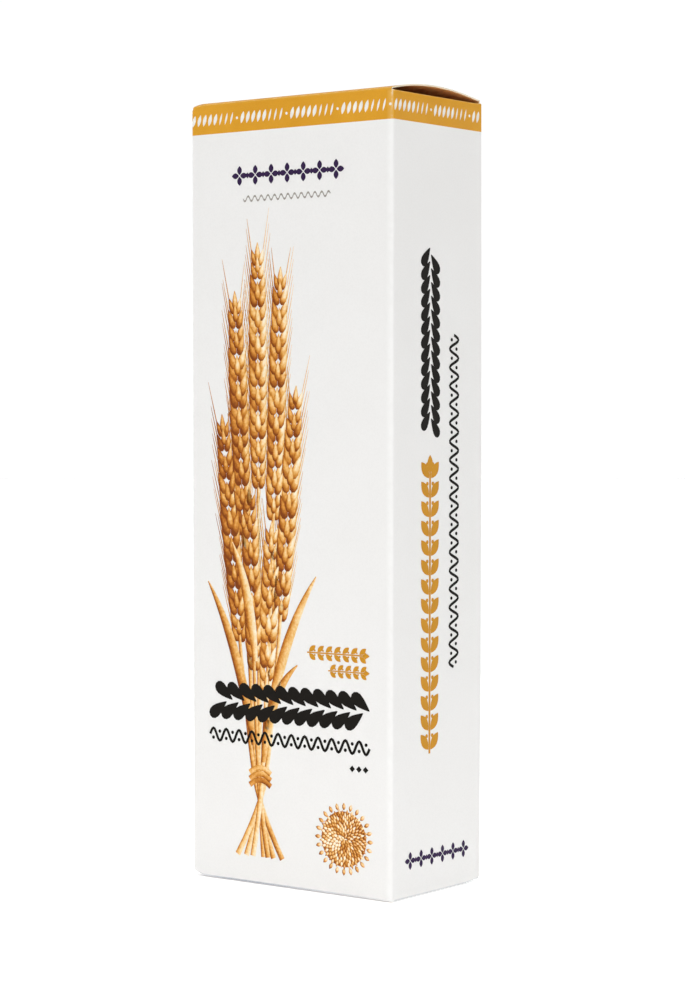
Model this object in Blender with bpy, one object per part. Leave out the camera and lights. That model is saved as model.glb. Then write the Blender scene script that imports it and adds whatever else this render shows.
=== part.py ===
"""Shut tuck-end paperboard carton for breadsticks, standing upright.

Metres, +Z up. The origin is the middle of the base: the wide front panel faces -Y, and the narrow
side panels face +X and -X. The carton is one folded sheet of board round its contents, so it is one
solid: four panels with creased folds, a lid that hinges on the front panel and bows up over the
dust flaps, and a base closure that is a little narrower than the body.
"""

import math

import bmesh
import bpy
from mathutils import Vector

MM = 0.001

# Driving dimensions
WIDTH = 90.0 * MM  # across the front panel
DEPTH = 53.0 * MM  # across a side panel
HEIGHT = 280.0 * MM  # from the base to the fold between the front panel and the lid
BOARD = 0.45 * MM  # thickness of the board

# Panels and their folds
FOLD_RADIUS = 1.2 * MM  # outside radius of the four upright folds
CRUSHED_RADIUS = 2.0 * MM  # the same folds, where the base has worn them
FRONT_BULGE = 0.5 * MM  # how far the wide panels stand proud at mid-height
SIDE_BULGE = 0.6 * MM

# Lid: front fold at HEIGHT, bowed up between its folds
LID_BOW = 2.75 * MM
LID_LEAN = 0.3  # how much nearer the front than the back the crown of the bow is
LID_BACK_DROP = 0.15 * MM  # the lid's back fold is this much lower than its front one
LID_FOLD_RADIUS = 0.5 * MM
TUCK_STEP = 0.5 * MM  # the lid's back fold stands this far inside the back panel's edge
BACK_EDGE_DROP = 1.5 * MM  # from the lid's front fold down to the back panel's cut edge
BACK_EDGE_SLOPE = 0.2 * MM
DUST_FLAP_DROP = 1.2 * MM  # from the lid's front fold down to the folds of the dust flaps
DUST_FOLD_RADIUS = 0.5 * MM

# Base: its closing panel is narrower than the body, whose side panels end a little higher
BASE_INSET = 0.6 * MM
BASE_STEP = 0.7 * MM
BASE_FOLD = 0.6 * MM  # height over which the side panels turn in
CRUSH_HEIGHT = 2.6 * MM

# How finely the curved parts are divided
FRONT_SEGMENTS = 6
SIDE_SEGMENTS = 12
CORNER_SEGMENTS = 3
BULGE_LEVELS = 8
FOLD_STEPS = 3

CUTTER_OVERSHOOT = 2.0 * MM  # how far a cutter reaches outside the solid

BOARD_COLOUR = (0.80, 0.79, 0.77)


def lid_height(y):
    """Height of the lid's outer face at depth y: a chord between its folds, plus the bow."""
    share = min(max(y / DEPTH + 0.5, 0.0), 1.0)
    bow = LID_BOW * 4 * share * (1 - share) * (1 + LID_LEAN * (0.5 - share))
    return HEIGHT - LID_BACK_DROP * share + bow


def bulge(across, z):
    """Share of a panel's full bulge, from 0 at its edges to 1 at its centre. across is -1 to 1."""
    return (1 - across * across) * math.sin(math.pi * min(max(z / HEIGHT, 0.0), 1.0))


def right_half(half_width, front, back, radius, z):
    """Plan of the +X half at height z, from the front edge to the back edge, as (x, y) pairs."""
    points = []
    corner_x = half_width - radius
    for i in range(CORNER_SEGMENTS + 1):
        angle = math.radians(-90 + 90 * i / CORNER_SEGMENTS)
        points.append((corner_x + radius * math.cos(angle), front + radius + radius * math.sin(angle)))
    side_start = front + radius
    side_length = back - radius - side_start
    for i in range(1, SIDE_SEGMENTS):
        y = side_start + side_length * i / SIDE_SEGMENTS
        across = 2 * i / SIDE_SEGMENTS - 1
        points.append((half_width + SIDE_BULGE * bulge(across, z), y))
    for i in range(CORNER_SEGMENTS + 1):
        angle = math.radians(90 * i / CORNER_SEGMENTS)
        points.append((corner_x + radius * math.cos(angle), back - radius + radius * math.sin(angle)))
    return points


def edge_points(x_from, x_to, y, outward, z):
    """Points inside a front or back edge, bowed outward, which is -1 for the front and 1 for the back."""
    points = []
    for i in range(1, FRONT_SEGMENTS):
        across = 2 * i / FRONT_SEGMENTS - 1
        x = x_from + (x_to - x_from) * i / FRONT_SEGMENTS
        points.append((x, y + outward * FRONT_BULGE * bulge(across, z)))
    return points


class Ring:
    """One closed loop of vertices round the carton, anticlockwise seen from above."""

    def __init__(self, mesh, z, half_width=WIDTH / 2, front=-DEPTH / 2, back=DEPTH / 2,
                 radius=FOLD_RADIUS, below_lid=None):
        plan = right_half(half_width, front, back, radius, z)
        front_plan = edge_points(-plan[0][0], plan[0][0], plan[0][1], -1, z)
        back_plan = edge_points(plan[-1][0], -plan[-1][0], plan[-1][1], 1, z)

        def vertex(x, y):
            level = z if below_lid is None else lid_height(y) - below_lid
            return mesh.verts.new((x, y, level))

        self.right = [vertex(x, y) for x, y in plan]
        self.left = [vertex(-x, y) for x, y in plan]
        self.front = [vertex(x, y) for x, y in front_plan]
        self.back = [vertex(x, y) for x, y in back_plan]
        self.loop = self.front + self.right + self.back + self.left[::-1]


def body_rings(mesh):
    """The rings from the base closure up to the lid's outer face."""
    inset_width = WIDTH / 2 - BASE_INSET
    rings = [
        Ring(mesh, 0.0, half_width=inset_width, radius=CRUSHED_RADIUS),
        Ring(mesh, BASE_STEP, half_width=inset_width, radius=CRUSHED_RADIUS),
    ]
    for step in range(1, FOLD_STEPS + 1):
        angle = math.radians(90 * step / FOLD_STEPS)
        rings.append(Ring(
            mesh,
            BASE_STEP + BASE_FOLD * (1 - math.cos(angle)),
            half_width=inset_width + BASE_INSET * math.sin(angle),
            radius=CRUSHED_RADIUS,
        ))
    rings.append(Ring(mesh, CRUSH_HEIGHT))
    back_edge = HEIGHT - BACK_EDGE_DROP
    for level in range(1, BULGE_LEVELS):
        rings.append(Ring(mesh, CRUSH_HEIGHT + (back_edge - CRUSH_HEIGHT) * level / BULGE_LEVELS))
    rings.append(Ring(mesh, back_edge))
    tucked_back = DEPTH / 2 - TUCK_STEP
    rings.append(Ring(mesh, back_edge + BACK_EDGE_SLOPE, back=tucked_back))
    for step in range(FOLD_STEPS + 1):
        angle = math.radians(90 * step / FOLD_STEPS)
        turned_in = LID_FOLD_RADIUS * (1 - math.cos(angle))
        rings.append(Ring(
            mesh,
            HEIGHT,
            front=-DEPTH / 2 + turned_in,
            back=tucked_back - turned_in,
            below_lid=LID_FOLD_RADIUS * (1 - math.sin(angle)),
        ))
    return rings


def carton_mesh():
    """The carton's whole outer form, before the gap under the lid is cut."""
    mesh = bmesh.new()
    rings = body_rings(mesh)
    count = len(rings[0].loop)
    for lower, upper in zip(rings, rings[1:]):
        for i in range(count):
            j = (i + 1) % count
            mesh.faces.new((lower.loop[i], lower.loop[j], upper.loop[j], upper.loop[i]))
    mesh.faces.new(rings[0].loop[::-1])
    top = rings[-1]
    rungs = list(zip(top.left, top.right))
    for i, ((left, right), (next_left, next_right)) in enumerate(zip(rungs, rungs[1:])):
        near = top.front if i == 0 else []
        far = top.back if i == len(rungs) - 2 else []
        mesh.faces.new([left, *near, right, next_right, *far, next_left])
    return mesh


def gap_section(mesh, x, floor):
    """One section across the gap under the lid: flat below, and the bow's underside above."""
    start = -DEPTH / 2 + BOARD
    end = DEPTH / 2 - TUCK_STEP - BOARD
    points = [Vector((x, start, floor)), Vector((x, end, floor))]
    for i in range(SIDE_SEGMENTS + 1):
        y = end + (start - end) * i / SIDE_SEGMENTS
        points.append(Vector((x, y, lid_height(y) - BOARD)))
    return [mesh.verts.new(point) for point in points]


def gap_mesh():
    """The air between the lid and the dust flaps, from side to side, with rounded dust flap folds."""
    mesh = bmesh.new()
    floor = HEIGHT - DUST_FLAP_DROP
    stations = []
    for step in range(FOLD_STEPS + 1):
        angle = math.radians(90 * step / FOLD_STEPS)
        x = WIDTH / 2 - DUST_FOLD_RADIUS * (1 - math.sin(angle))
        stations.append((x, floor - DUST_FOLD_RADIUS * (1 - math.cos(angle))))
    stations.append((WIDTH / 2 + CUTTER_OVERSHOOT, floor - DUST_FOLD_RADIUS))
    across = [(-x, z) for x, z in reversed(stations)] + stations
    sections = [gap_section(mesh, x, z) for x, z in across]
    count = len(sections[0])
    for near, far in zip(sections, sections[1:]):
        for i in range(count):
            j = (i + 1) % count
            mesh.faces.new((near[i], far[i], far[j], near[j]))
    mesh.faces.new(sections[0][::-1])
    mesh.faces.new(sections[-1])
    bmesh.ops.recalc_face_normals(mesh, faces=mesh.faces)
    return mesh


def board_material():
    """White coated paperboard."""
    material = bpy.data.materials.new("coated_board")
    material.use_nodes = True
    shader = material.node_tree.nodes["Principled BSDF"]
    shader.inputs["Base Color"].default_value = (*BOARD_COLOUR, 1)
    shader.inputs["Roughness"].default_value = 0.5
    shader.inputs["Metallic"].default_value = 0
    return material


def add_object(name, mesh):
    """A mesh object made from a bmesh, which is freed."""
    data = bpy.data.meshes.new(name)
    mesh.to_mesh(data)
    mesh.free()
    made = bpy.data.objects.new(name, data)
    bpy.context.scene.collection.objects.link(made)
    return made


def main():
    for old in list(bpy.data.objects):
        bpy.data.objects.remove(old)

    gap = add_object("lid_gap_cutter", gap_mesh())
    gap.hide_render = True
    gap.display_type = "WIRE"

    carton = add_object("carton", carton_mesh())
    carton.data.materials.append(board_material())
    carton.data.shade_smooth()
    carton.data.set_sharp_from_angle(angle=math.radians(30))
    cut = carton.modifiers.new("lid_gap", "BOOLEAN")
    cut.operation = "DIFFERENCE"
    cut.solver = "EXACT"
    cut.object = gap


main()
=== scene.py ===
"""Looks of the shut breadstick carton: one folded sheet of printed board in soft studio light.

Metres, in the frame's own coordinates: +Z is up and the wide front panel faces -Y. The board is
built as a real folded sheet with a thickness, and each colour of print is a thin layer that follows
the folded sheet. Places on a panel are "across", to the right as seen from outside, and z.
"""

import math
import random

import bpy
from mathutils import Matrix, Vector


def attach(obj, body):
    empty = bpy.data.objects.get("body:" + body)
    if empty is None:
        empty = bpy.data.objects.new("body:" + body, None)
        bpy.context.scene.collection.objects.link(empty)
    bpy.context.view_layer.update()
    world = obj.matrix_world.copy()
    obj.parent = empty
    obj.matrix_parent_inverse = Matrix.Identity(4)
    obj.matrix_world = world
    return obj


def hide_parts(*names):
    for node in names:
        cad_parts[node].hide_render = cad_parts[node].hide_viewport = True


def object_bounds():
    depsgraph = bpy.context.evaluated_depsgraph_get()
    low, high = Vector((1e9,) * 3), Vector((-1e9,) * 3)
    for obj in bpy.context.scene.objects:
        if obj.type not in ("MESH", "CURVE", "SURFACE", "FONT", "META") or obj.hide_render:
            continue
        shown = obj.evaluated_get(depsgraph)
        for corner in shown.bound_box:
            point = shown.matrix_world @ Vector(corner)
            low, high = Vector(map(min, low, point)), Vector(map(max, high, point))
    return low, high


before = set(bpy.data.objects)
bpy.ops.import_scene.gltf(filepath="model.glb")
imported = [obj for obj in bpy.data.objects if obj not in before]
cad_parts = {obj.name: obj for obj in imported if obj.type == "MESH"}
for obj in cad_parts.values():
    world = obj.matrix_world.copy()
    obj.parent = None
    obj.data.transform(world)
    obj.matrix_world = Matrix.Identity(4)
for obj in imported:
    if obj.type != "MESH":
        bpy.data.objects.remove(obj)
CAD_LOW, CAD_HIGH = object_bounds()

MM = 0.001
RANDOM = random.Random(7)

# The carton, from the frame's box. Its folds stand a little inside that box at the foot, which
# leaves room for the bulge of the panels and for the spread of a filled carton.
FOLD_INSET_X = 0.6 * MM
FOLD_INSET_Y = 0.22 * MM
WIDTH = CAD_HIGH.x - CAD_LOW.x - 2 * FOLD_INSET_X
DEPTH = CAD_HIGH.y - CAD_LOW.y - 2 * FOLD_INSET_Y
LID_CROWN = 2.7 * MM  # from the top of the upright sheet up to the top of the lid's bow
HEIGHT = CAD_HIGH.z - LID_CROWN
LID_BOW = 2.745 * MM
LID_LEAN = 0.22
LID_FRONT_DROP = 0.13 * MM
LID_BACK_DROP = 0.05 * MM

# The board
BOARD = 0.45 * MM
FOLD_RADIUS = 0.8 * MM  # upright folds, outside
LID_FOLD_RADIUS = 0.5 * MM
DUST_FOLD_RADIUS = 0.5 * MM
BASE_FOLD_RADIUS = 0.6 * MM
GLUE_GAP = 0.05 * MM
GLUE_FOLD_RADIUS = FOLD_RADIUS - BOARD - GLUE_GAP
BULGE = {"front": 0.09 * MM, "right": 0.26 * MM, "back": 0.065 * MM, "left": 0.26 * MM}
WAVE = 0.015 * MM  # slow unevenness of the panels
FLARE_X = 0.25 * MM  # how far the folds spread from the foot to the top
FLARE_Y = 0.1 * MM
FOLD_BOW = Vector((0.35 * MM, 0.04 * MM, 0))  # the right back fold bows outwards at mid-height
ROLL_REACH = 2.6 * MM  # the front panel rolls in a little beside its right-hand fold
ROLL_DEPTH = 0.32 * MM
# Crushed corners: the sides of x, y and the height, how far it is pushed in along z, and how far
# that reaches along the edges
CRUSHED = (
    (-1, -1, 0, 2.0 * MM, 5.5 * MM),
    (1, 1, 0, 1.0 * MM, 8.0 * MM),
    (1, -1, 0, -0.3 * MM, 2.3 * MM),
    (-1, -1, 1, -0.75 * MM, 6.0 * MM),
    (1, 1, 1, 0.45 * MM, 3.0 * MM),
)
CRUSH_HEIGHT = 9 * MM
NEAR_HIGHLIGHT_REACH = 2.3 * MM  # how far beside the near fold the front gets a painted highlight
TOP_RUB_AND_HIGHLIGHT_HEIGHT = 4 * MM  # how far down from its upper end it is worn bare and its painted highlight is stronger
FOOT_SHADOW_HEIGHT = 0.55 * MM  # how high the painted shadow reaches up the foot
# Painted shadow at the foot: how far it fades in from the front's left edge, and its strength on the
# other panels, the base and its flaps
FOOT_SHADOW_START = 14 * MM
SIDE_FOOT_SHADOW = 0.25

# Heights at which the sheet's parts start and end
SIDE_TOP = HEIGHT - 1.5 * MM  # here the side panels turn into the dust flaps
FRONT_TOP = HEIGHT - LID_FRONT_DROP - LID_FOLD_RADIUS
BACK_TOP = HEIGHT - 1.3 * MM
GLUE_FLAP_TOP = HEIGHT - 20 * MM
CORE_BOTTOM = 1.1 * MM
FRONT_BOTTOM = 0.45 * MM
BAND_BOTTOM = HEIGHT - 10.95 * MM

# Flaps
TUCK_STEP = 0.5 * MM  # how far the lid's back fold stands inside the back panel's face
TUCK_LENGTH = 14 * MM
LID_SIDE_GAP = 0.4 * MM
DUST_FLAP_LENGTH = 37 * MM
DUST_FLAP_DROOP = 0.7 * MM
GLUE_FLAP_WIDTH = 13 * MM
BASE_SIDE_GAP = 1.5 * MM
BASE_STEP = 1.7 * MM  # how far the base's front fold stands inside the front panel's face

# How far the layers of print stand above the board
INK_LOW = -0.02 * MM
INK_BAND = 0.03 * MM
INK_ART = 0.04 * MM
INK_PLAIN = 0.075 * MM
SHAPE_STEP = 0.004 * MM  # shapes of one layer that overlap lie at different heights

WELD = 1e-6  # corners of two patches that are nearer than this are one
WELD_SHIFT = 0.137  # keeps round coordinates away from the edges of the rounding


# ---------------------------------------------------------------- the folded surface


def lid_height(y):
    """Height of the lid's outer face at depth y."""
    share = min(max(y / DEPTH + 0.5, 0.0), 1.0)
    bow = LID_BOW * 4 * share * (1 - share) * (1 + LID_LEAN * (0.5 - share))
    return HEIGHT - LID_FRONT_DROP * (1 - share) - LID_BACK_DROP * share + bow


def spaced(low, high, gap):
    """Numbers from low to high, evenly spaced, about gap apart."""
    count = max(1, round(abs(high - low) / gap))
    return [low + (high - low) * i / count for i in range(count + 1)]


def settled(point):
    """The point after the carton has spread a little, as a filled one does."""
    share = point.z / HEIGHT
    right = min(max(2 * point.x / WIDTH, 0.0), 1.0)
    rear = min(max(2 * point.y / DEPTH, 0.0), 1.0)
    bow = FOLD_BOW * (right * rear * math.sin(math.pi * min(max(share, 0.0), 1.0)))
    spread = Vector((FLARE_X * share * 2 * point.x / WIDTH, FLARE_Y * share * 2 * point.y / DEPTH, 0))
    near_fold = max(0.0, 1 - max(0.0, WIDTH / 2 - point.x) / ROLL_REACH)
    near_front = max(0.0, 1 - (point.y + DEPTH / 2) / ROLL_REACH)
    roll = ROLL_DEPTH * near_fold ** 2 * near_front
    push = 0.0
    for side_x, side_y, level, amount, reach in CRUSHED:
        corner = Vector((side_x * WIDTH / 2, side_y * DEPTH / 2, point.z))
        near = max(0.0, 1 - (point - corner).length / reach)
        close = max(0.0, 1 - abs(point.z - level * HEIGHT) / CRUSH_HEIGHT)
        push += amount * near ** 1.3 * close ** 2
    return point + spread + bow + Vector((0, roll, push))


class Panel:
    """One upright face of the carton. turn is the quarter turns from the front, anticlockwise."""

    def __init__(self, name, turn, width, distance):
        angle = math.radians(90 * turn)
        self.name = name
        self.right = Vector((math.cos(angle), math.sin(angle), 0))
        self.out = Vector((math.sin(angle), -math.cos(angle), 0))
        self.half = width / 2
        self.flat = width / 2 - FOLD_RADIUS
        self.distance = distance
        self.phase = 1.7 * turn

    def bulge(self, across, z):
        """How far the panel stands proud: full in the middle and nothing at its folds."""
        share = min(abs(across) / self.flat, 1.0)
        height = min(max((z - CORE_BOTTOM) / (SIDE_TOP - CORE_BOTTOM), 0.0), 1.0)
        wave = math.sin(height * 9 + self.phase) * math.cos(across / self.flat * 2.2 + self.phase)
        return (1 - share * share) * math.sin(math.pi * height) * (BULGE[self.name] + WAVE * wave)

    def place(self, across, z):
        """The point of the outer face at across and z, and the way out of it."""
        out = self.distance + self.bulge(across, z)
        return self.right * across + self.out * out + Vector((0, 0, z)), self.out

    def corner(self, share, z):
        """The fold at the panel's right-hand edge, at a share of its quarter turn."""
        angle = math.radians(90 * share)
        way = self.out * math.cos(angle) + self.right * math.sin(angle)
        centre = self.right * self.flat + self.out * (self.distance - FOLD_RADIUS)
        return centre + way * FOLD_RADIUS + Vector((0, 0, z)), way


PANELS = {
    "front": Panel("front", 0, WIDTH, DEPTH / 2),
    "right": Panel("right", 1, DEPTH, WIDTH / 2),
    "back": Panel("back", 2, WIDTH, DEPTH / 2),
    "left": Panel("left", 3, DEPTH, WIDTH / 2),
}


class Layer:
    """A thin closed solid that follows the folded surface, made of patches and loose shapes.

    Every corner is a pair, one on each of the layer's two faces, which stand at low and high above
    the board's outer face. Patches that meet share their pairs. Each pair has a mark, a number that
    the materials read: on the board, how much painted highlight and broken rub marks it has, or below
    nothing how much painted shadow; on print, how light a printed shape is.
    """

    def __init__(self, low, high):
        self.low = low
        self.high = high
        self.pairs = []
        self.marks = []
        self.known = {}
        self.faces = []

    def pair(self, point, normal, mark=0.5, lift=0.0):
        place = settled(point)
        self.pairs.append((place + normal * self.low, place + normal * (self.high + lift)))
        self.marks.append(mark)
        return len(self.pairs) - 1

    def shared_pair(self, point, normal, mark):
        key = tuple(round(c / WELD + WELD_SHIFT) for c in point)
        if key not in self.known:
            self.known[key] = self.pair(point, normal, mark)
        return self.known[key]

    def grid(self, rows):
        """Faces between rows of pairs."""
        for near, far in zip(rows, rows[1:]):
            for j in range(len(near) - 1):
                self.faces.append((near[j], far[j], far[j + 1], near[j + 1]))

    def patch(self, us, vs, place):
        """A grid of faces. place(u, v) gives a point, its normal and its mark."""
        self.grid([[self.shared_pair(*place(u, v)) for v in vs] for u in us])

    def rim_edges(self):
        """The edges that only one face uses, each in the direction that face takes it."""
        used = {}
        for face in self.faces:
            for a, b in zip(face, face[1:] + face[:1]):
                used.setdefault(frozenset((a, b)), []).append((a, b))
        return [ways[0] for ways in used.values() if len(ways) == 1]

    def build(self, name, materials):
        """The layer as an object. materials are those of its outer face, inner face and rim."""
        count = len(self.pairs)
        corners = [high for _, high in self.pairs] + [low for low, _ in self.pairs]
        outer = [tuple(face) for face in self.faces]
        inner = [tuple(count + i for i in reversed(face)) for face in self.faces]
        rim = [(b, a, count + a, count + b) for a, b in self.rim_edges()]
        mesh = bpy.data.meshes.new(name)
        mesh.from_pydata(corners, [], outer + inner + rim)
        for material in materials:
            mesh.materials.append(material)
        last = len(materials) - 1
        numbers = [0] * len(outer) + [min(1, last)] * len(inner) + [min(2, last)] * len(rim)
        mesh.polygons.foreach_set("material_index", numbers)
        mark = mesh.attributes.new("mark", "FLOAT", "POINT")
        mark.data.foreach_set("value", self.marks + self.marks)
        mesh.shade_smooth()
        mesh.set_sharp_from_angle(angle=math.radians(35))
        mesh.update()
        piece = bpy.data.objects.new(name, mesh)
        bpy.context.scene.collection.objects.link(piece)
        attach(piece, "root")
        return piece


# ---------------------------------------------------------------- the board's parts


def columns(flat):
    """Columns across a flat panel, with narrow ones beside each fold for its roll and its crush."""
    steps = (0.3 * MM, 0.8 * MM, 1.4 * MM, 2.2 * MM, 3.6 * MM)
    left = [-flat + step for step in steps]
    right = [flat - step for step in reversed(steps)]
    return [-flat] + left[:-1] + spaced(left[-1], right[0], 5 * MM) + right[1:] + [flat]


CORE_ROWS = spaced(CORE_BOTTOM, 8 * MM, 1.4 * MM)[:-1] + spaced(8 * MM, BAND_BOTTOM, 8 * MM)
BAND_ROWS = spaced(BAND_BOTTOM, SIDE_TOP, 3 * MM)
CORNER_SHARES = spaced(0, 1, 1 / 6)
FRONT_COLUMNS = columns(PANELS["front"].flat)
SIDE_COLUMNS = columns(PANELS["right"].flat)


def quarter(steps, start, end):
    """Angles from start to end degrees, in radians."""
    return [math.radians(start + (end - start) * i / steps) for i in range(steps + 1)]


def left_of(path, i):
    """The unit vector to the left of a flat path's direction at its point i."""
    before = path[max(i - 1, 0)]
    after = path[min(i + 1, len(path) - 1)]
    along = (after[0] - before[0], after[1] - before[1])
    length = math.hypot(*along)
    return -along[1] / length, along[0] / length


def rounded_end(share, start):
    """0 up to the share start of a flap's length, then rising to 1 as a quarter circle."""
    past = max(0.0, (share - start) / (1 - start))
    return 1 - math.sqrt(max(0.0, 1 - past * past))


def foot_shadow(name, across, z):
    """How much shadow is painted along a panel's foot: the front the most, towards its left."""
    low = max(0.0, 1 - max(0.0, z - FRONT_BOTTOM) / FOOT_SHADOW_HEIGHT)
    if name != "front":
        return SIDE_FOOT_SHADOW * low
    half = PANELS[name].half
    return low * min(1.0, 0.75 - 0.75 * across / half) * min(1.0, (across + half) / FOOT_SHADOW_START)


def fold_rub_and_highlight(name, across):
    """The mark for a painted highlight with broken rub marks: a little at a panel's folds, and more in
    front of the near one.
    """
    beside = PANELS[name].flat - abs(across)
    if name == "front" and across > 0:
        return max(0.0, 1 - beside / NEAR_HIGHLIGHT_REACH)
    if name == "right" and across < 0:
        return 0.0
    return 0.25 if beside <= 0 else 0.0


def add_panel(layer, name, across_places, rows):
    """A flat panel, with its painted fold highlight and rub marks, and painted shadow along its foot."""
    panel = PANELS[name]

    def place(across, z):
        return *panel.place(across, z), fold_rub_and_highlight(name, across) - foot_shadow(name, across, z)

    layer.patch(across_places, rows, place)


def add_corner(layer, name, rows):
    """The upright fold at the right-hand edge of a panel: a painted highlight with broken rub marks on
    its crown, on the front's near fold on its front half and most near the top, and painted shadow at its
    foot.
    """
    panel = PANELS[name]

    def place(share, z):
        if name == "front":
            top_rub_and_highlight = max(0.0, 1 - (SIDE_TOP - z) / TOP_RUB_AND_HIGHLIGHT_HEIGHT)
            mark = min(1.0, max(0.0, 1.35 - 1.8 * share)) * (1 + 0.6 * top_rub_and_highlight)
        else:
            mark = 0.25 + 0.75 * math.sin(math.pi * share)
        return *panel.corner(share, z), mark - foot_shadow(name, panel.flat, z)

    layer.patch(CORNER_SHARES, rows, place)


def add_corner_crown(layer, name):
    """The fold's upper end, pressed in where the side's flap turns in; its mark paints it worn bare with
    a painted highlight.
    """
    panel = PANELS[name]
    axis = panel.right * panel.flat + panel.out * (panel.distance - FOLD_RADIUS)

    def place(share, step):
        point, way = panel.corner(share, SIDE_TOP)
        shrink, rise = ((1.0, 0.0), (0.86, 0.3 * MM), (0.5, 0.5 * MM), (0.15, 0.58 * MM))[step]
        flat_point = axis + (point - axis - Vector((0, 0, SIDE_TOP))) * shrink
        normal = way * math.sqrt(shrink) + Vector((0, 0, 1 - shrink))
        return flat_point + Vector((0, 0, SIDE_TOP + rise)), normal.normalized(), 1.6

    layer.patch(CORNER_SHARES, range(4), place)


def lid_path():
    """The lid seen from +X, as (y, z, half width, mark): front strip, fold, bow, fold and tuck."""
    front = -DEPTH / 2
    back = DEPTH / 2 - TUCK_STEP
    root = PANELS["front"].flat
    full = WIDTH / 2 - LID_SIDE_GAP
    # The marks paint a highlight with broken rub marks on the lid's folds, and a faint one on its front
    # strip.
    path = [(front, z, root, 0.25) for z in spaced(SIDE_TOP, FRONT_TOP, 0.6 * MM)]
    for angle in quarter(5, 0, 90)[1:]:
        y = front + LID_FOLD_RADIUS * (1 - math.cos(angle))
        z = lid_height(y) - LID_FOLD_RADIUS * (1 - math.sin(angle))
        path.append((y, z, root, 0.3 + 0.7 * math.sin(2 * angle)))
    start = front + LID_FOLD_RADIUS
    for run, widened in ((0.25 * MM, 0.6), (0.6 * MM, 0.9), (1.1 * MM, 1.0)):
        path.append((start + run, lid_height(start + run), root + (full - root) * widened, 0.1))
    end = back - LID_FOLD_RADIUS
    for y in spaced(start + 1.1 * MM, end, 1.6 * MM)[1:]:
        path.append((y, lid_height(y), full, 0.0))
    for angle in quarter(5, 90, 0)[1:]:
        y = back - LID_FOLD_RADIUS * (1 - math.cos(angle))
        z = lid_height(y) - LID_FOLD_RADIUS * (1 - math.sin(angle))
        path.append((y, z, full - 0.3 * MM, 0.3 + 0.7 * math.sin(2 * angle)))
    top = path[-1][1]
    for share in spaced(0.08, 1, 0.08):
        narrowed = 1.5 * MM + 8 * MM * rounded_end(share, 0.4)
        path.append((back - 0.3 * MM * share, top - TUCK_LENGTH * share, full - narrowed, 0.0))
    return path


def add_lid(layer):
    """The lid, hinged on the front panel, with its tuck flap behind the back panel."""
    path = lid_path()
    root = PANELS["front"].flat

    def place(across, i):
        y, z, half, mark = path[i]
        normal = Vector((0, *left_of(path, i)))
        return Vector((across * half / root, y, z)), normal, mark

    layer.patch(FRONT_COLUMNS, range(len(path)), place)


def add_side_flap(layer, name, hinge, radius, way, droop):
    """A dust flap, folded in from the top or the foot of a side panel. way is +1 at the top."""
    panel = PANELS[name]
    stations = []
    # The fold's mark paints a highlight with broken rub marks on its crown.
    for angle in quarter(4, 0, 90):
        inward = radius * (1 - math.cos(angle))
        stations.append((inward, radius * math.sin(angle), 1.0, math.sin(2 * angle), angle))
    for share in spaced(0.04, 1, 0.08):
        narrow = 0.94 - 0.25 * rounded_end(share, 0.7)
        stations.append((radius + DUST_FLAP_LENGTH * share, radius - droop * share, narrow, 0.0,
                         math.radians(90)))
    # At the foot the whole flap gets painted shadow instead.
    if way < 0:
        stations = [(*station[:3], -SIDE_FOOT_SHADOW, station[4]) for station in reversed(stations)]

    def place(across, i):
        inward, rise, narrow, mark, lean = stations[i]
        point = panel.right * (across * narrow) + panel.out * (panel.distance - inward)
        normal = panel.out * math.cos(lean) + Vector((0, 0, way * math.sin(lean)))
        return point + Vector((0, 0, hinge + way * rise)), normal, mark

    layer.patch(SIDE_COLUMNS, range(len(stations)), place)


def add_base(layer):
    """The base panel, hinged on the back panel and tucked in behind the front panel, with painted shadow
    on it: full at its tuck and front fold, lighter on the rest.
    """
    root = PANELS["back"].flat
    full = WIDTH / 2 - BASE_SIDE_GAP
    front = -DEPTH / 2 + BASE_STEP
    back = DEPTH / 2
    radius = BASE_FOLD_RADIUS
    path = []
    for share in spaced(1, 0.08, 0.1):
        narrowed = 2 * MM + 8 * MM * rounded_end(share, 0.4)
        path.append((front + 0.3 * MM * share, radius + TUCK_LENGTH * share, full - narrowed, -1.0))
    for angle in quarter(4, 0, 90):
        y = front + radius * (1 - math.cos(angle))
        path.append((y, radius * (1 - math.sin(angle)), full - 0.3 * MM, -1.0))
    for y in spaced(front + radius + 1 * MM, back - radius - 1 * MM, 6 * MM):
        path.append((y, 0.0, full, -SIDE_FOOT_SHADOW))
    for angle in quarter(4, 90, 0):
        y = back - radius * (1 - math.cos(angle))
        path.append((y, radius * (1 - math.sin(angle)), root, -SIDE_FOOT_SHADOW))

    def place(across, i):
        y, z, half, mark = path[i]
        left_y, left_z = left_of(path, i)
        return Vector((-across * half / root, y, z)), Vector((0, -left_y, -left_z)), mark

    layer.patch(FRONT_COLUMNS, range(len(path)), place)


def add_glue_flap(layer, rows):
    """The fold at the left panel's back edge, and below GLUE_FLAP_TOP the flap glued behind it."""
    panel = PANELS["left"]
    inside = DEPTH / 2 - BOARD - GLUE_GAP
    radius = GLUE_FOLD_RADIUS

    def fold(angle, z):
        way = panel.out * math.cos(angle) + Vector((0, math.sin(angle), 0))
        centre = panel.out * (panel.distance - radius) + Vector((0, inside - radius, z))
        # The fold's mark paints a faint highlight.
        return centre + way * radius, way, 0.3

    def flap(inward, z):
        point = panel.out * (panel.distance - radius - inward) + Vector((0, inside, z))
        return point, Vector((0, 1, 0)), 0.0

    layer.patch(quarter(4, 90, 0), rows, fold)
    low_rows = [z for z in rows if z < GLUE_FLAP_TOP]
    if low_rows:
        layer.patch(spaced(GLUE_FLAP_WIDTH, 0, 3 * MM), low_rows, flap)


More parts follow.
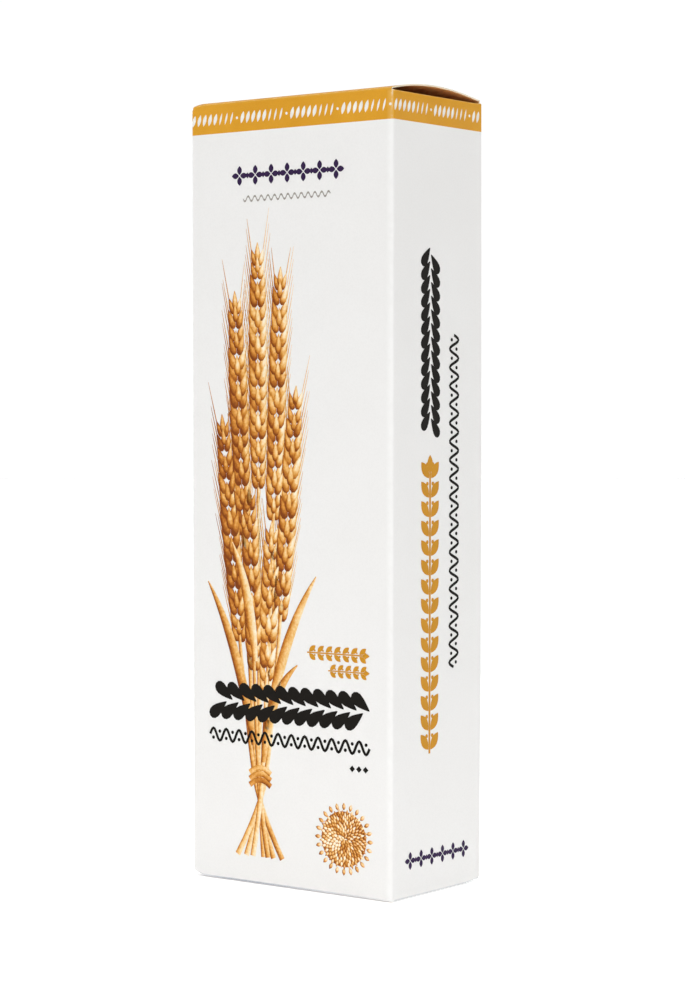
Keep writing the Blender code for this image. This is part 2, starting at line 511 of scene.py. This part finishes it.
def add_band_part(layer):
    """The sheet from the band's lower edge upwards, with the lid and its dust flaps."""
    add_panel(layer, "front", FRONT_COLUMNS, BAND_ROWS)
    add_panel(layer, "right", SIDE_COLUMNS, BAND_ROWS)
    overlap = PANELS["back"].half - GLUE_GAP
    add_panel(layer, "back", FRONT_COLUMNS + [overlap], BAND_ROWS + [BACK_TOP])
    add_panel(layer, "left", SIDE_COLUMNS, BAND_ROWS)
    add_glue_flap(layer, BAND_ROWS)
    for name in ("front", "right", "left"):
        add_corner(layer, name, BAND_ROWS)
        add_corner_crown(layer, name)
    add_lid(layer)
    for name in ("right", "left"):
        add_side_flap(layer, name, SIDE_TOP, DUST_FOLD_RADIUS, 1, DUST_FLAP_DROOP)


def add_lower_part(layer):
    """The sheet below the band, with the base and its dust flaps."""
    add_panel(layer, "front", FRONT_COLUMNS, [FRONT_BOTTOM] + CORE_ROWS)
    add_panel(layer, "right", SIDE_COLUMNS, CORE_ROWS)
    overlap = PANELS["back"].half - GLUE_GAP
    add_panel(layer, "back", FRONT_COLUMNS + [overlap], CORE_ROWS)
    add_panel(layer, "back", FRONT_COLUMNS, [BASE_FOLD_RADIUS, CORE_BOTTOM])
    add_panel(layer, "left", SIDE_COLUMNS, CORE_ROWS)
    add_glue_flap(layer, CORE_ROWS)
    for name in ("front", "left"):
        add_corner(layer, name, [FRONT_BOTTOM] + CORE_ROWS)
    add_corner(layer, "right", CORE_ROWS)
    add_base(layer)
    for name in ("right", "left"):
        add_side_flap(layer, name, CORE_BOTTOM, BASE_FOLD_RADIUS, -1, 0.0)


# ---------------------------------------------------------------- shapes to print


def ellipse(angle):
    return 0.5 * math.cos(angle), 0.5 * math.sin(angle)


def drop(angle):
    """Round at its foot and narrow at its tip, like a grain."""
    x = 0.5 * math.cos(angle)
    return x, 0.66 * math.sin(angle) * (1 - 0.8 * (x + 0.5))


def leaf(angle):
    """Pointed at both ends."""
    return 0.5 * math.cos(angle), 0.5 * math.sin(angle) * abs(math.sin(angle))


def diamond(angle):
    c = math.cos(angle)
    s = math.sin(angle)
    return 0.5 * c * abs(c), 0.5 * s * abs(s)


def spot(name, across, z, turn=0):
    """A drawing frame on a panel: maps a motif's own x and y to a point and its normal."""
    panel = PANELS[name]
    c = math.cos(math.radians(turn))
    s = math.sin(math.radians(turn))

    def at(x, y):
        return panel.place(across + x * c - y * s, z + x * s + y * c)

    return at


def blob(layer, at, outline, x, y, length, width, turn=0.0, tone=None, lift=0.0, points=16,
         plain=0.5):
    """A filled shape centred on x, y. With a tone it is shaded like a dome lit from its right."""
    c = math.cos(math.radians(turn))
    s = math.sin(math.radians(turn))

    def corner(u, v, share):
        dx = (u * c * length - v * s * width) * share
        dy = (u * s * length + v * c * width) * share
        mark = plain
        if tone is not None:
            size = max(width, length * 0.5)
            mark = tone - 0.42 * share * share + (0.5 * dx + 0.24 * dy) / size
        return layer.pair(*at(x + dx, y + dy), mark, lift)

    shares = (1.0, 0.62) if tone is not None else (1.0,)
    angles = [2 * math.pi * i / points for i in range(points)]
    rings = [[corner(*outline(a), share) for a in angles] for share in shares]
    for outer, inner in zip(rings, rings[1:]):
        for i in range(points):
            k = (i + 1) % points
            layer.faces.append((outer[i], outer[k], inner[k], inner[i]))
    middle = corner(0.0, 0.0, 0.0)
    for i in range(points):
        layer.faces.append((rings[-1][i], rings[-1][(i + 1) % points], middle))


def ribbon(layer, at, path, widths, tone=None, lift=0.0):
    """A stroke along a path. With a tone it is shaded like a rod lit from its right."""
    shares = (-1.0, -0.35, 0.35, 1.0) if tone is not None else (-1.0, 1.0)
    rows = []
    for i, (x, y) in enumerate(path):
        left_x, left_y = left_of(path, i)
        row = []
        for share in shares:
            dx = left_x * widths[i] / 2 * share
            dy = left_y * widths[i] / 2 * share
            mark = 0.5
            if tone is not None:
                mark = tone + 0.3 * (dx + 0.3 * dy) / (widths[i] / 2) - 0.15 * share * share
            row.append(layer.pair(*at(x + dx, y + dy), mark, lift))
        rows.append(row)
    layer.grid(rows)


def disc(layer, at, x, y, size):
    blob(layer, at, ellipse, x, y, size, size)


# ---------------------------------------------------------------- plain motifs


def petal_row(layer, at, length, height, count):
    """Four-petalled flowers with a small diamond between each two, in a row centred on the spot."""
    step = (length - height) / (count - 1)
    for i in range(count):
        x = (i - (count - 1) / 2) * step
        for turn in (0, 90, 180, 270):
            angle = math.radians(turn)
            reach = height * 0.27
            blob(layer, at, leaf, x + reach * math.cos(angle), reach * math.sin(angle),
                 height * 0.46, height * 0.3, turn)
        if i < count - 1:
            blob(layer, at, diamond, x + step / 2, 0, height * 0.3, height * 0.3, lift=SHAPE_STEP)


def wave_row(layer, at, length, height, stroke, period):
    """A thin running wave, with a dot in each of its hollows."""
    half = length / 2
    swing = (height - stroke) / 2
    waves = round(length / period)

    def wave(x):
        return swing * math.sin(2 * math.pi * waves * x / length)

    path = [(x, wave(x)) for x in spaced(-half, half, period / 12)]
    ribbon(layer, at, path, [stroke] * len(path))
    for i in range(2 * waves):
        x = -half + length * (i + 0.5) / (2 * waves)
        way = -1 if i % 2 == 0 else 1
        disc(layer, at, x, way * swing * 0.55, stroke * 1.25)


def plait_row(layer, at, length, height, count):
    """Bold grains that lean from both edges to the middle, like a plait lying on its side."""
    grain = height * 0.78
    lean = 36
    reach = grain * 0.5 * math.cos(math.radians(lean))
    step = (length - 2 * reach) / (count - 0.5)
    for i in range(count):
        for side in (-1, 1):
            x = -length / 2 + reach + step * (i + (0.5 if side > 0 else 0.0))
            blob(layer, at, drop, x, side * height * 0.262, grain, height * 0.41, -side * lean,
                 lift=SHAPE_STEP * (i % 2 + (side > 0)))


def twig(layer, at, length, width, pairs):
    """A straight twig along x with pairs of pointed leaves and a bud between the pairs."""
    half = length / 2
    stem = [(x, 0) for x in spaced(-half, half - width * 0.3, 4 * MM)]
    ribbon(layer, at, stem, [width * 0.09] * len(stem))
    step = length / (pairs + 0.4)
    for i in range(pairs):
        x = -half + step * (i + 0.62)
        for side in (-1, 1):
            blob(layer, at, leaf, x, side * width * 0.27, width * 0.66, width * 0.34, side * 38,
                 lift=SHAPE_STEP * (1 + (side > 0)))
            disc(layer, at, x + step * 0.3, side * width * 0.15, width * 0.13)
    blob(layer, at, leaf, half - width * 0.3, 0, width * 0.6, width * 0.3, lift=3 * SHAPE_STEP)


# ---------------------------------------------------------------- the wheat sheaf and the rosette


def stalk_path(foot, waist, tip):
    """A stalk's line: straight up at the waist, leaning out to its foot and to its tip."""

    def line(y):
        if y < waist[1]:
            share = (waist[1] - y) / (waist[1] - foot[1])
            return waist[0] + (foot[0] - waist[0]) * share ** 1.4
        share = (y - waist[1]) / (tip[1] - waist[1])
        return waist[0] + (tip[0] - waist[0]) * share ** 0.85 * (1.06 - 0.06 * share)

    return line


def ear(layer, at, line, low, high, tone):
    """Two rows of grains and a middle one, with awns, along a stalk's line from low to high."""
    step = 4.6 * MM
    count = int((high - low) / step)
    for i in range(count):
        share = i / (count - 1)
        y = low + (high - low - 5 * MM) * share
        lean = math.degrees(math.atan2(line(y + 1 * MM) - line(y), 1 * MM))
        size = (0.72 + 0.5 * math.sin(math.pi * (0.15 + 0.75 * share))) * RANDOM.uniform(0.94, 1.06)
        height = SHAPE_STEP * (i % 3)
        for side in (-1, 1):
            turn = 90 - lean - side * 19
            x = line(y) + side * 2.1 * MM * size
            shade = tone + 0.1 * side + RANDOM.uniform(-0.12, 0.12)
            tip_x = x + 3.6 * MM * size * math.cos(math.radians(turn))
            tip_y = y + 3.6 * MM * size * math.sin(math.radians(turn))
            awn(layer, at, tip_x, tip_y, turn + side * 9, RANDOM.uniform(9, 15) * MM, shade - 0.1)
            blob(layer, at, drop, x, y, 7.6 * MM * size, 3.3 * MM * size, turn, shade,
                 height + SHAPE_STEP, 12)
        if i % 2 == 0:
            blob(layer, at, drop, line(y + 2 * MM), y + 2 * MM, 6.4 * MM * size, 2.7 * MM * size,
                 90 - lean, tone + RANDOM.uniform(0.02, 0.16), height + 4 * SHAPE_STEP, 12)
    blob(layer, at, drop, line(high - 3 * MM), high - 3 * MM, 7 * MM, 2.8 * MM, 90 - lean, tone + 0.1,
         4 * SHAPE_STEP, 12)


def awn(layer, at, x, y, turn, length, tone):
    """A bristle: a fine tapered stroke."""
    path = []
    for share in (0, 0.33, 0.66, 1):
        angle = math.radians(turn)
        path.append((x + length * share * math.cos(angle), y + length * share * math.sin(angle)))
    ribbon(layer, at, path, [0.42 * MM, 0.34 * MM, 0.24 * MM, 0.1 * MM], tone)


def blade(layer, at, x, y, turn, curl, length, width, tone, lift):
    """A long leaf that leaves the stalk and curls over."""
    path = [(x, y)]
    steps = 14
    for i in range(steps):
        angle = math.radians(turn + curl * (i / steps) ** 1.5)
        path.append((path[-1][0] + length / steps * math.cos(angle),
                     path[-1][1] + length / steps * math.sin(angle)))
    widths = [max(0.15 * MM, width * math.sin(math.pi * (0.12 + 0.86 * i / steps)) ** 0.8)
              for i in range(steps + 1)]
    ribbon(layer, at, path, widths, tone, lift)


def sheaf(layer, at):
    """A sheaf of wheat, tied above its feet."""
    waist_y = 40 * MM
    middle = -13.5 * MM
    stalks = [
        # tip across, tip height, ear length, foot across, tone
        (-14.5, 229, 84, 1.5, 0.62),
        (-25.0, 212, 84, 6.0, 0.52),
        (-4.0, 220, 86, -6.5, 0.60),
        (-31.0, 168, 78, 10.0, 0.46),
        (3.0, 178, 80, -10.5, 0.58),
        (-18.5, 142, 62, 3.5, 0.50),
        (-8.0, 130, 58, -3.5, 0.64),
    ]
    for i, (tip_x, tip_y, ear_length, foot_x, tone) in enumerate(stalks):
        waist = (middle + (tip_x * MM - middle) * 0.16, waist_y)
        line = stalk_path((middle + foot_x * MM, 10 * MM), waist, (tip_x * MM, tip_y * MM))
        low = (tip_y - ear_length) * MM
        path = [(line(y), y) for y in spaced(10 * MM, low + 3 * MM, 5 * MM)]
        widths = [(2.3 - 0.9 * k / (len(path) - 1)) * MM for k in range(len(path))]
        ribbon(layer, at, path, widths, tone, SHAPE_STEP * i)
        ear(layer, at, line, low, tip_y * MM, tone)
    for x, y, turn, curl, length, tone in (
        (-16.5, 50, 102, 22, 62, 0.40),
        (-10.5, 56, 76, -22, 60, 0.56),
        (-15.5, 80, 97, 20, 44, 0.62),
        (-12, 44, 84, -48, 40, 0.46),
    ):
        blade(layer, at, x * MM, y * MM, turn, curl, length * MM, 4.2 * MM, tone, 8 * SHAPE_STEP)
    for i, y in enumerate((37.6, 39.8, 42.0)):
        path = [(middle + x, y * MM - 90 * x * x) for x in spaced(-4.8 * MM, 4.8 * MM, 1.2 * MM)]
        ribbon(layer, at, path, [2.0 * MM] * len(path), 0.34 + 0.1 * i, (9 + i) * SHAPE_STEP)


def rosette(layer, at, radius):
    """Seeds set in spirals like a sunflower's head, inside a ring of small leaves."""
    golden_angle = 137.508
    count = 190
    blob(layer, at, ellipse, 0, 0, 1.78 * radius, 1.78 * radius, points=64, plain=0.2)
    for i in range(count):
        share = math.sqrt((i + 0.6) / count)
        turn = golden_angle * i
        angle = math.radians(turn)
        tone = RANDOM.uniform(0.42, 0.94)
        blob(layer, at, drop, radius * 0.9 * share * math.cos(angle),
             radius * 0.9 * share * math.sin(angle), 2.1 * MM, 1.2 * MM, turn, tone,
             SHAPE_STEP * (1 + i % 4), 10)
    leaves = 24
    for i in range(leaves):
        angle = 2 * math.pi * i / leaves
        blob(layer, at, leaf, radius * 1.04 * math.cos(angle), radius * 1.04 * math.sin(angle),
             2.6 * MM, 1.5 * MM, math.degrees(angle), 0.6 + 0.12 * (i % 2), 0.0, 10)


# ---------------------------------------------------------------- materials


class Paint:
    """A Principled material whose nodes are added one by one."""

    def __init__(self, name, **inputs):
        self.material = bpy.data.materials.new(name)
        self.material.use_nodes = True
        self.tree = self.material.node_tree
        self.shader = self.tree.nodes["Principled BSDF"]
        for key, value in inputs.items():
            self.shader.inputs[key.replace("_", " ")].default_value = value
        self.places = self.tree.nodes.new("ShaderNodeTexCoord").outputs["Object"]

    def node(self, kind, **settings):
        made = self.tree.nodes.new(kind)
        for key, value in settings.items():
            setattr(made, key, value)
        return made

    def link(self, source, target):
        self.tree.links.new(source, target)

    def noise(self, scale, detail=3.0, roughness=0.55, stretch=None):
        """Noise from 0 to 1. stretch multiplies the coordinates along x, y and z."""
        places = self.places
        if stretch:
            mapping = self.node("ShaderNodeMapping")
            mapping.inputs["Scale"].default_value = stretch
            self.link(places, mapping.inputs["Vector"])
            places = mapping.outputs["Vector"]
        noise = self.node("ShaderNodeTexNoise")
        noise.inputs["Scale"].default_value = scale
        noise.inputs["Detail"].default_value = detail
        noise.inputs["Roughness"].default_value = roughness
        self.link(places, noise.inputs["Vector"])
        return noise.outputs["Fac"]

    def mark(self):
        return self.node("ShaderNodeAttribute", attribute_name="mark").outputs["Fac"]

    def ramp(self, value, stops):
        """stops are (position, colour) or (position, number)."""
        ramp = self.node("ShaderNodeValToRGB")
        elements = ramp.color_ramp.elements
        while len(elements) < len(stops):
            elements.new(0.5)
        for element, (position, colour) in zip(elements, stops):
            element.position = position
            grey = isinstance(colour, float)
            element.color = (colour, colour, colour, 1) if grey else (*colour, 1)
        self.link(value, ramp.inputs["Fac"])
        return ramp.outputs["Color"]

    def mix(self, share, first, second, blend="MIX"):
        """first and second are sockets or colours."""
        mix = self.node("ShaderNodeMix", data_type="RGBA", blend_type=blend)
        for socket, value in ((mix.inputs[0], share), (mix.inputs[6], first), (mix.inputs[7], second)):
            if isinstance(value, bpy.types.NodeSocket):
                self.link(value, socket)
            elif isinstance(value, float):
                socket.default_value = value
            else:
                socket.default_value = (*value, 1)
        return mix.outputs[2]

    def math(self, operation, first, second):
        made = self.node("ShaderNodeMath", operation=operation)
        for socket, value in zip(made.inputs, (first, second)):
            if isinstance(value, bpy.types.NodeSocket):
                self.link(value, socket)
            else:
                socket.default_value = value
        return made.outputs["Value"]

    def colour(self, source):
        self.link(source, self.shader.inputs["Base Color"])

    def roughness(self, value, low, high):
        fit = self.node("ShaderNodeMapRange")
        fit.inputs["From Min"].default_value = 0.3
        fit.inputs["From Max"].default_value = 0.7
        fit.inputs["To Min"].default_value = low
        fit.inputs["To Max"].default_value = high
        self.link(value, fit.inputs["Value"])
        self.link(fit.outputs["Result"], self.shader.inputs["Roughness"])

    def bump(self, value, height, strength=1.0):
        bump = self.node("ShaderNodeBump")
        bump.inputs["Strength"].default_value = strength
        bump.inputs["Distance"].default_value = height
        self.link(value, bump.inputs["Height"])
        self.link(bump.outputs["Normal"], self.shader.inputs["Normal"])


WHITE = (0.86, 0.853, 0.838)
WHITE_LOW = (0.85, 0.842, 0.826)
MUSTARD = (0.74, 0.35, 0.018)
MUSTARD_LOW = (0.7, 0.322, 0.012)
MUSTARD_FINE = (0.63, 0.29, 0.022)
AUBERGINE = (0.036, 0.016, 0.066)
BLACK = (0.008, 0.006, 0.004)
GREY = (0.36, 0.33, 0.29)
CREAM = (0.88, 0.86, 0.8)
RAW = (0.8, 0.42, 0.15)
RAW_LOW = (0.66, 0.28, 0.08)
# Painted highlight colour for the board's folds
PAINTED_FOLD_HIGHLIGHT = (0.908, 0.902, 0.888)
# Painted shadow colour for the foot and the base
PAINTED_FOOT_SHADOW = (0.24, 0.28, 0.36)


def finish_board(paint):
    """The coated board's faint fibre relief and uneven sheen."""
    paint.roughness(paint.noise(260, 4), 0.4, 0.52)
    paint.bump(paint.noise(2600, 3, 0.6), 0.006 * MM)


def coated_board():
    paint = Paint("coated_board", Coat_Weight=0.4, Coat_Roughness=0.2, Specular_IOR_Level=0.4)
    cloud = paint.ramp(paint.noise(38, 4), [(0.32, WHITE_LOW), (0.62, WHITE)])
    fibre = paint.ramp(paint.noise(1500, 3), [(0.3, 0.975), (0.6, 1.0)])
    clean = paint.mix(1.0, cloud, fibre, "MULTIPLY")
    # Painted highlight: along the folds and beside the near fold, broken by noise, the board is
    # lightened.
    rub_and_highlight = paint.math("MULTIPLY", paint.mark(), paint.noise(420, 3))
    pale = paint.mix(paint.ramp(rub_and_highlight, [(0.02, 0.0), (0.5, 1.0)]), clean, PAINTED_FOLD_HIGHLIGHT)
    # Painted shadow: where the mark is below nothing, at the foot and on the base, the board darkens to
    # blue-grey.
    foot_shadow_share = paint.math("MULTIPLY", paint.mark(), -1.0)
    paint.colour(paint.mix(paint.ramp(foot_shadow_share, [(0.0, 0.0), (1.0, 1.0)]), pale, PAINTED_FOOT_SHADOW))
    finish_board(paint)
    return paint.material


def mustard_ink():
    """Band ink, worn off to the pale board in a broken line along the folds, and lightened along them by
    a painted highlight.
    """
    paint = Paint("mustard_print", Specular_IOR_Level=0.22)
    cloud = paint.ramp(paint.noise(60, 4), [(0.3, MUSTARD_LOW), (0.65, MUSTARD)])
    screen = paint.ramp(paint.noise(1900, 2), [(0.3, 0.95), (0.62, 1.0)])
    clean = paint.mix(1.0, cloud, screen, "MULTIPLY")
    rub_and_highlight = paint.math("MULTIPLY", paint.mark(), paint.noise(520, 4, 0.7))
    # Painted highlight: along the folds and beside the near fold the ink is softly lightened.
    soft = paint.mix(paint.ramp(paint.mark(), [(0.1, 0.0), (1.0, 0.5)]), clean, (0.84, 0.52, 0.15))
    share = paint.ramp(rub_and_highlight, [(0.42, 0.0), (0.62, 0.36), (0.85, 0.9)])
    paint.colour(paint.mix(share, soft, (0.88, 0.74, 0.5)))
    finish_board(paint)
    return paint.material


def plain_ink(name, colour, spread=0.12):
    """One flat ink with the slight unevenness of print."""
    paint = Paint(name, Specular_IOR_Level=0.09)
    low = tuple(c * (1 - spread) for c in colour)
    cloud = paint.ramp(paint.noise(150, 4), [(0.3, low), (0.65, colour)])
    screen = paint.ramp(paint.noise(2100, 2), [(0.3, 1 - spread), (0.6, 1.0)])
    paint.colour(paint.mix(1.0, cloud, screen, "MULTIPLY"))
    finish_board(paint)
    return paint.material


def golden_ink():
    """The artwork's inks: browns to pale gold by the shapes' own shading, with a crusty grain."""
    paint = Paint("golden_print", Specular_IOR_Level=0.1)
    grain = paint.math("SUBTRACT", paint.noise(900, 4, 0.65), 0.5)
    slow = paint.math("SUBTRACT", paint.noise(120, 3), 0.5)
    uneven = paint.math("ADD", paint.math("MULTIPLY", grain, 0.5), paint.math("MULTIPLY", slow, 0.45))
    tone = paint.math("ADD", paint.mark(), uneven)
    paint.colour(paint.ramp(tone, [
        (0.04, (0.22, 0.05, 0.006)),
        (0.24, (0.46, 0.14, 0.015)),
        (0.4, (0.7, 0.3, 0.05)),
        (0.54, (0.86, 0.5, 0.16)),
        (0.68, (0.94, 0.71, 0.39)),
        (0.86, (0.97, 0.88, 0.7)),
    ]))
    finish_board(paint)
    return paint.material


def raw_board():
    """Uncoated grey-brown fibre, inside the carton."""
    paint = Paint("raw_board", Specular_IOR_Level=0.25)
    long_fibre = paint.noise(700, 5, 0.65, (1, 1, 0.3))
    paint.colour(paint.ramp(long_fibre, [(0.3, RAW_LOW), (0.7, RAW)]))
    paint.roughness(paint.noise(500, 3), 0.8, 0.95)
    paint.bump(long_fibre, 0.02 * MM)
    return paint.material


def cut_edge():
    """The pale core of the board where it was die cut, greyed at the foot by painted shadow."""
    paint = Paint("cut_edge", Specular_IOR_Level=0.25)
    fibre = paint.noise(1300, 4, 0.6, (1, 1, 2))
    core = paint.ramp(fibre, [(0.3, (0.8, 0.69, 0.47)), (0.7, (0.93, 0.86, 0.69))])
    # Painted shadow: cut edges at the foot and on the base turn grey.
    foot_shadow_share = paint.math("MULTIPLY", paint.mark(), -1 / SIDE_FOOT_SHADOW)
    paint.colour(paint.mix(paint.ramp(foot_shadow_share, [(0.0, 0.0), (1.0, 1.0)]), core, (0.74, 0.74, 0.73)))
    paint.roughness(paint.noise(500, 3), 0.75, 0.9)
    paint.bump(fibre, 0.015 * MM)
    return paint.material


# ---------------------------------------------------------------- the carton


def build_carton():
    """The folded board, which stands for the solid, and the mustard band printed on it."""
    board = Layer(-BOARD, 0.0)
    add_lower_part(board)
    add_band_part(board)
    piece = board.build("carton_board", [coated_board(), raw_board(), cut_edge()])
    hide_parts("carton")
    band = Layer(INK_LOW, INK_BAND)
    add_band_part(band)
    band.build("carton_band", [mustard_ink()])


def print_band_row(layer):
    """A running row of seeds round the band: five bold, three slender and a dot."""
    height = 4.2 * MM
    middle = HEIGHT - 5.9 * MM
    number = 0
    for name, count, end in (("front", 36, 0), ("right", 20, 1.6 * MM), ("back", 36, 0), ("left", 21, 0)):
        step = (2 * PANELS[name].half - end) / count
        for i in range(count):
            at = spot(name, (i + 0.5) * step - PANELS[name].half, middle)
            place = number % 9
            if place == 8:
                disc(layer, at, 0, 0, 1.0 * MM)
            else:
                width = 1.55 * MM if place < 5 else 0.8 * MM
                blob(layer, at, leaf, 0, 0, height * 1.04, width, 74)
            number += 1


def print_front():
    """The front's motifs, each in the place and scale of the pack's words."""
    brand = spot("front", -1 * MM, 253.3 * MM)
    petal_row(AUBERGINE_LAYER, brand, 50.2 * MM, 7 * MM, 7)
    wave_row(GREY_LAYER, spot("front", -1.4 * MM, 245 * MM), 39 * MM, 2.4 * MM, 0.32 * MM, 3 * MM)
    twig(MUSTARD_LAYER, spot("front", 21.5 * MM, 84.6 * MM), 27.3 * MM, 5.4 * MM, 7)
    twig(MUSTARD_LAYER, spot("front", 26.2 * MM, 78.6 * MM), 18 * MM, 4.8 * MM, 5)
    plait_row(BLACK_LAYER, spot("front", -0.8 * MM, 65.1 * MM), 72 * MM, 12.2 * MM, 12)
    wave_row(BLACK_LAYER, spot("front", -0.8 * MM, 52.5 * MM), 72 * MM, 5.4 * MM, 1.0 * MM, 6 * MM)
    weight = spot("front", 30.6 * MM, 45 * MM)
    for i in range(-1, 2):
        blob(BLACK_LAYER, weight, diamond, i * 2.9 * MM, 0, 2.3 * MM, 2.3 * MM)
    sheaf(GOLDEN_LAYER, spot("front", 0, 0))
    rosette(GOLDEN_LAYER, spot("front", 24 * MM, 20 * MM), 11 * MM)


def print_side(name):
    """The narrow sides' upright motifs and the small row at their foot."""
    twig(MUSTARD_LAYER, spot(name, -5.2 * MM, 101.8 * MM, 90), 104.6 * MM, 10.9 * MM, 15)
    plait_row(BLACK_LAYER, spot(name, -5 * MM, 193.3 * MM, 90), 65.8 * MM, 10.1 * MM, 13)
    wave_row(BLACK_LAYER, spot(name, 9.2 * MM, 137.5 * MM, 90), 117.3 * MM, 6.2 * MM, 1.0 * MM,
             6.5 * MM)
    petal_row(AUBERGINE_LAYER, spot(name, -0.2 * MM, 13.2 * MM), 38.5 * MM, 6.2 * MM, 6)


def print_back():
    """The back, which the photograph doesn't show: the same motifs, more sparsely."""
    petal_row(AUBERGINE_LAYER, spot("back", 0, 253.3 * MM), 50.2 * MM, 7 * MM, 7)
    twig(MUSTARD_LAYER, spot("back", 0, 150 * MM, 90), 150 * MM, 15 * MM, 15)
    plait_row(BLACK_LAYER, spot("back", 0, 50 * MM), 60 * MM, 10 * MM, 12)
    wave_row(BLACK_LAYER, spot("back", 0, 38 * MM), 60 * MM, 4.4 * MM, 0.7 * MM, 5 * MM)


AUBERGINE_LAYER = Layer(INK_LOW, INK_PLAIN)
GREY_LAYER = Layer(INK_LOW, INK_PLAIN)
MUSTARD_LAYER = Layer(INK_LOW, INK_PLAIN)
BLACK_LAYER = Layer(INK_LOW, INK_PLAIN + 0.02 * MM)
CREAM_LAYER = Layer(INK_LOW, INK_PLAIN)
GOLDEN_LAYER = Layer(INK_LOW, INK_ART)


def build_print():
    print_band_row(CREAM_LAYER)
    print_front()
    for name in ("right", "left"):
        print_side(name)
    print_back()
    AUBERGINE_LAYER.build("aubergine_motifs", [plain_ink("aubergine", AUBERGINE)])
    GREY_LAYER.build("grey_hairline", [plain_ink("grey", GREY)])
    MUSTARD_LAYER.build("mustard_motifs", [plain_ink("mustard", MUSTARD_FINE, 0.06)])
    BLACK_LAYER.build("black_motifs", [plain_ink("black", BLACK)])
    CREAM_LAYER.build("band_seeds", [plain_ink("cream", CREAM, 0.03)])
    GOLDEN_LAYER.build("wheat_artwork", [golden_ink()])


# ---------------------------------------------------------------- camera, floor and light


def add_camera():
    azimuth = math.radians(37.344)
    pitch = math.radians(1.881)
    distance = 930.8 * MM
    aside = -2.37 * MM
    aloft = 2.68 * MM
    data = bpy.data.cameras.new("camera")
    data.lens = 92.72
    data.sensor_width = 36
    data.clip_start = 0.01
    camera = bpy.data.objects.new("camera", data)
    bpy.context.scene.collection.objects.link(camera)
    camera.rotation_euler = (math.radians(90) - pitch, 0, azimuth)
    turn = camera.rotation_euler.to_matrix()
    right, up, back = turn.col[0], turn.col[1], turn.col[2]
    camera.location = Vector((0, 0, HEIGHT / 2)) + back * distance - right * aside - up * aloft
    bpy.context.scene.camera = camera


def add_floor():
    """A wide round sheet of pale paper that glows, most around the carton: painted light standing in for
    light bounced up off the floor.
    """
    bpy.ops.mesh.primitive_circle_add(vertices=96, radius=6, fill_type="NGON", location=(0, 0, 0))
    floor = bpy.context.object
    floor.name = "studio_floor"
    paint = Paint("glowing_floor_paper", Specular_IOR_Level=0.2)
    paint.colour(paint.ramp(paint.noise(30, 3), [(0.3, (0.97, 0.97, 0.97)), (0.7, (0.99, 0.99, 0.99))]))
    paint.roughness(paint.noise(60, 2), 0.85, 0.95)
    reach = paint.node("ShaderNodeVectorMath", operation="LENGTH")
    paint.link(paint.places, reach.inputs[0])
    glow = paint.node("ShaderNodeMapRange", interpolation_type="SMOOTHSTEP")
    glow.inputs["From Min"].default_value = 0.05
    glow.inputs["From Max"].default_value = 0.7
    glow.inputs["To Min"].default_value = GLOW
    glow.inputs["To Max"].default_value = FAR_GLOW
    paint.link(reach.outputs["Value"], glow.inputs["Value"])
    paint.shader.inputs["Emission Color"].default_value = (1, 1, 1, 1)
    paint.link(glow.outputs["Result"], paint.shader.inputs["Emission Strength"])
    floor.data.materials.append(paint.material)


def add_area(name, place, target, size, power, colour=(1, 1, 1)):
    data = bpy.data.lights.new(name, "AREA")
    data.shape = "RECTANGLE"
    data.size, data.size_y = size
    data.energy = power
    data.color = colour
    lamp = bpy.data.objects.new(name, data)
    bpy.context.scene.collection.objects.link(lamp)
    lamp.visible_camera = False
    lamp.location = place
    lamp.rotation_euler = (Vector(target) - Vector(place)).to_track_quat("-Z", "Y").to_euler()


def add_light():
    """A white room with a dimmer ceiling, light from overhead and a soft key beside the camera."""
    world = bpy.data.worlds.new("studio")
    bpy.context.scene.world = world
    world.use_nodes = True
    tree = world.node_tree
    backdrop = tree.nodes["Background"]
    direction = tree.nodes.new("ShaderNodeTexCoord").outputs["Generated"]
    rise = tree.nodes.new("ShaderNodeSeparateXYZ")
    tree.links.new(direction, rise.inputs["Vector"])
    strength = tree.nodes.new("ShaderNodeMapRange")
    strength.interpolation_type = "SMOOTHSTEP"
    strength.inputs["From Min"].default_value = 0.17
    strength.inputs["From Max"].default_value = 0.35
    strength.inputs["To Min"].default_value = HORIZON
    strength.inputs["To Max"].default_value = CEILING
    tree.links.new(rise.outputs["Z"], strength.inputs["Value"])
    tree.links.new(strength.outputs["Result"], backdrop.inputs["Strength"])
    backdrop.inputs["Color"].default_value = (1, 1, 1, 1)
    sun = bpy.data.lights.new("overhead", "SUN")
    sun.energy = OVERHEAD
    sun.angle = math.radians(50)
    lamp = bpy.data.objects.new("overhead", sun)
    bpy.context.scene.collection.objects.link(lamp)
    add_area("key", (0.45, -1.35, 0.3), (0, 0, 0.13), (0.3, 0.7), KEY)
    bpy.context.scene.view_settings.view_transform = "Standard"


HORIZON = 1.02
CEILING = 0.16
OVERHEAD = 2.46
KEY = 2.35
# The floor's glow, painted light: strong near the carton and faint far off
GLOW = 0.4
FAR_GLOW = 0.08

build_carton()
build_print()
add_camera()
add_floor()
add_light()
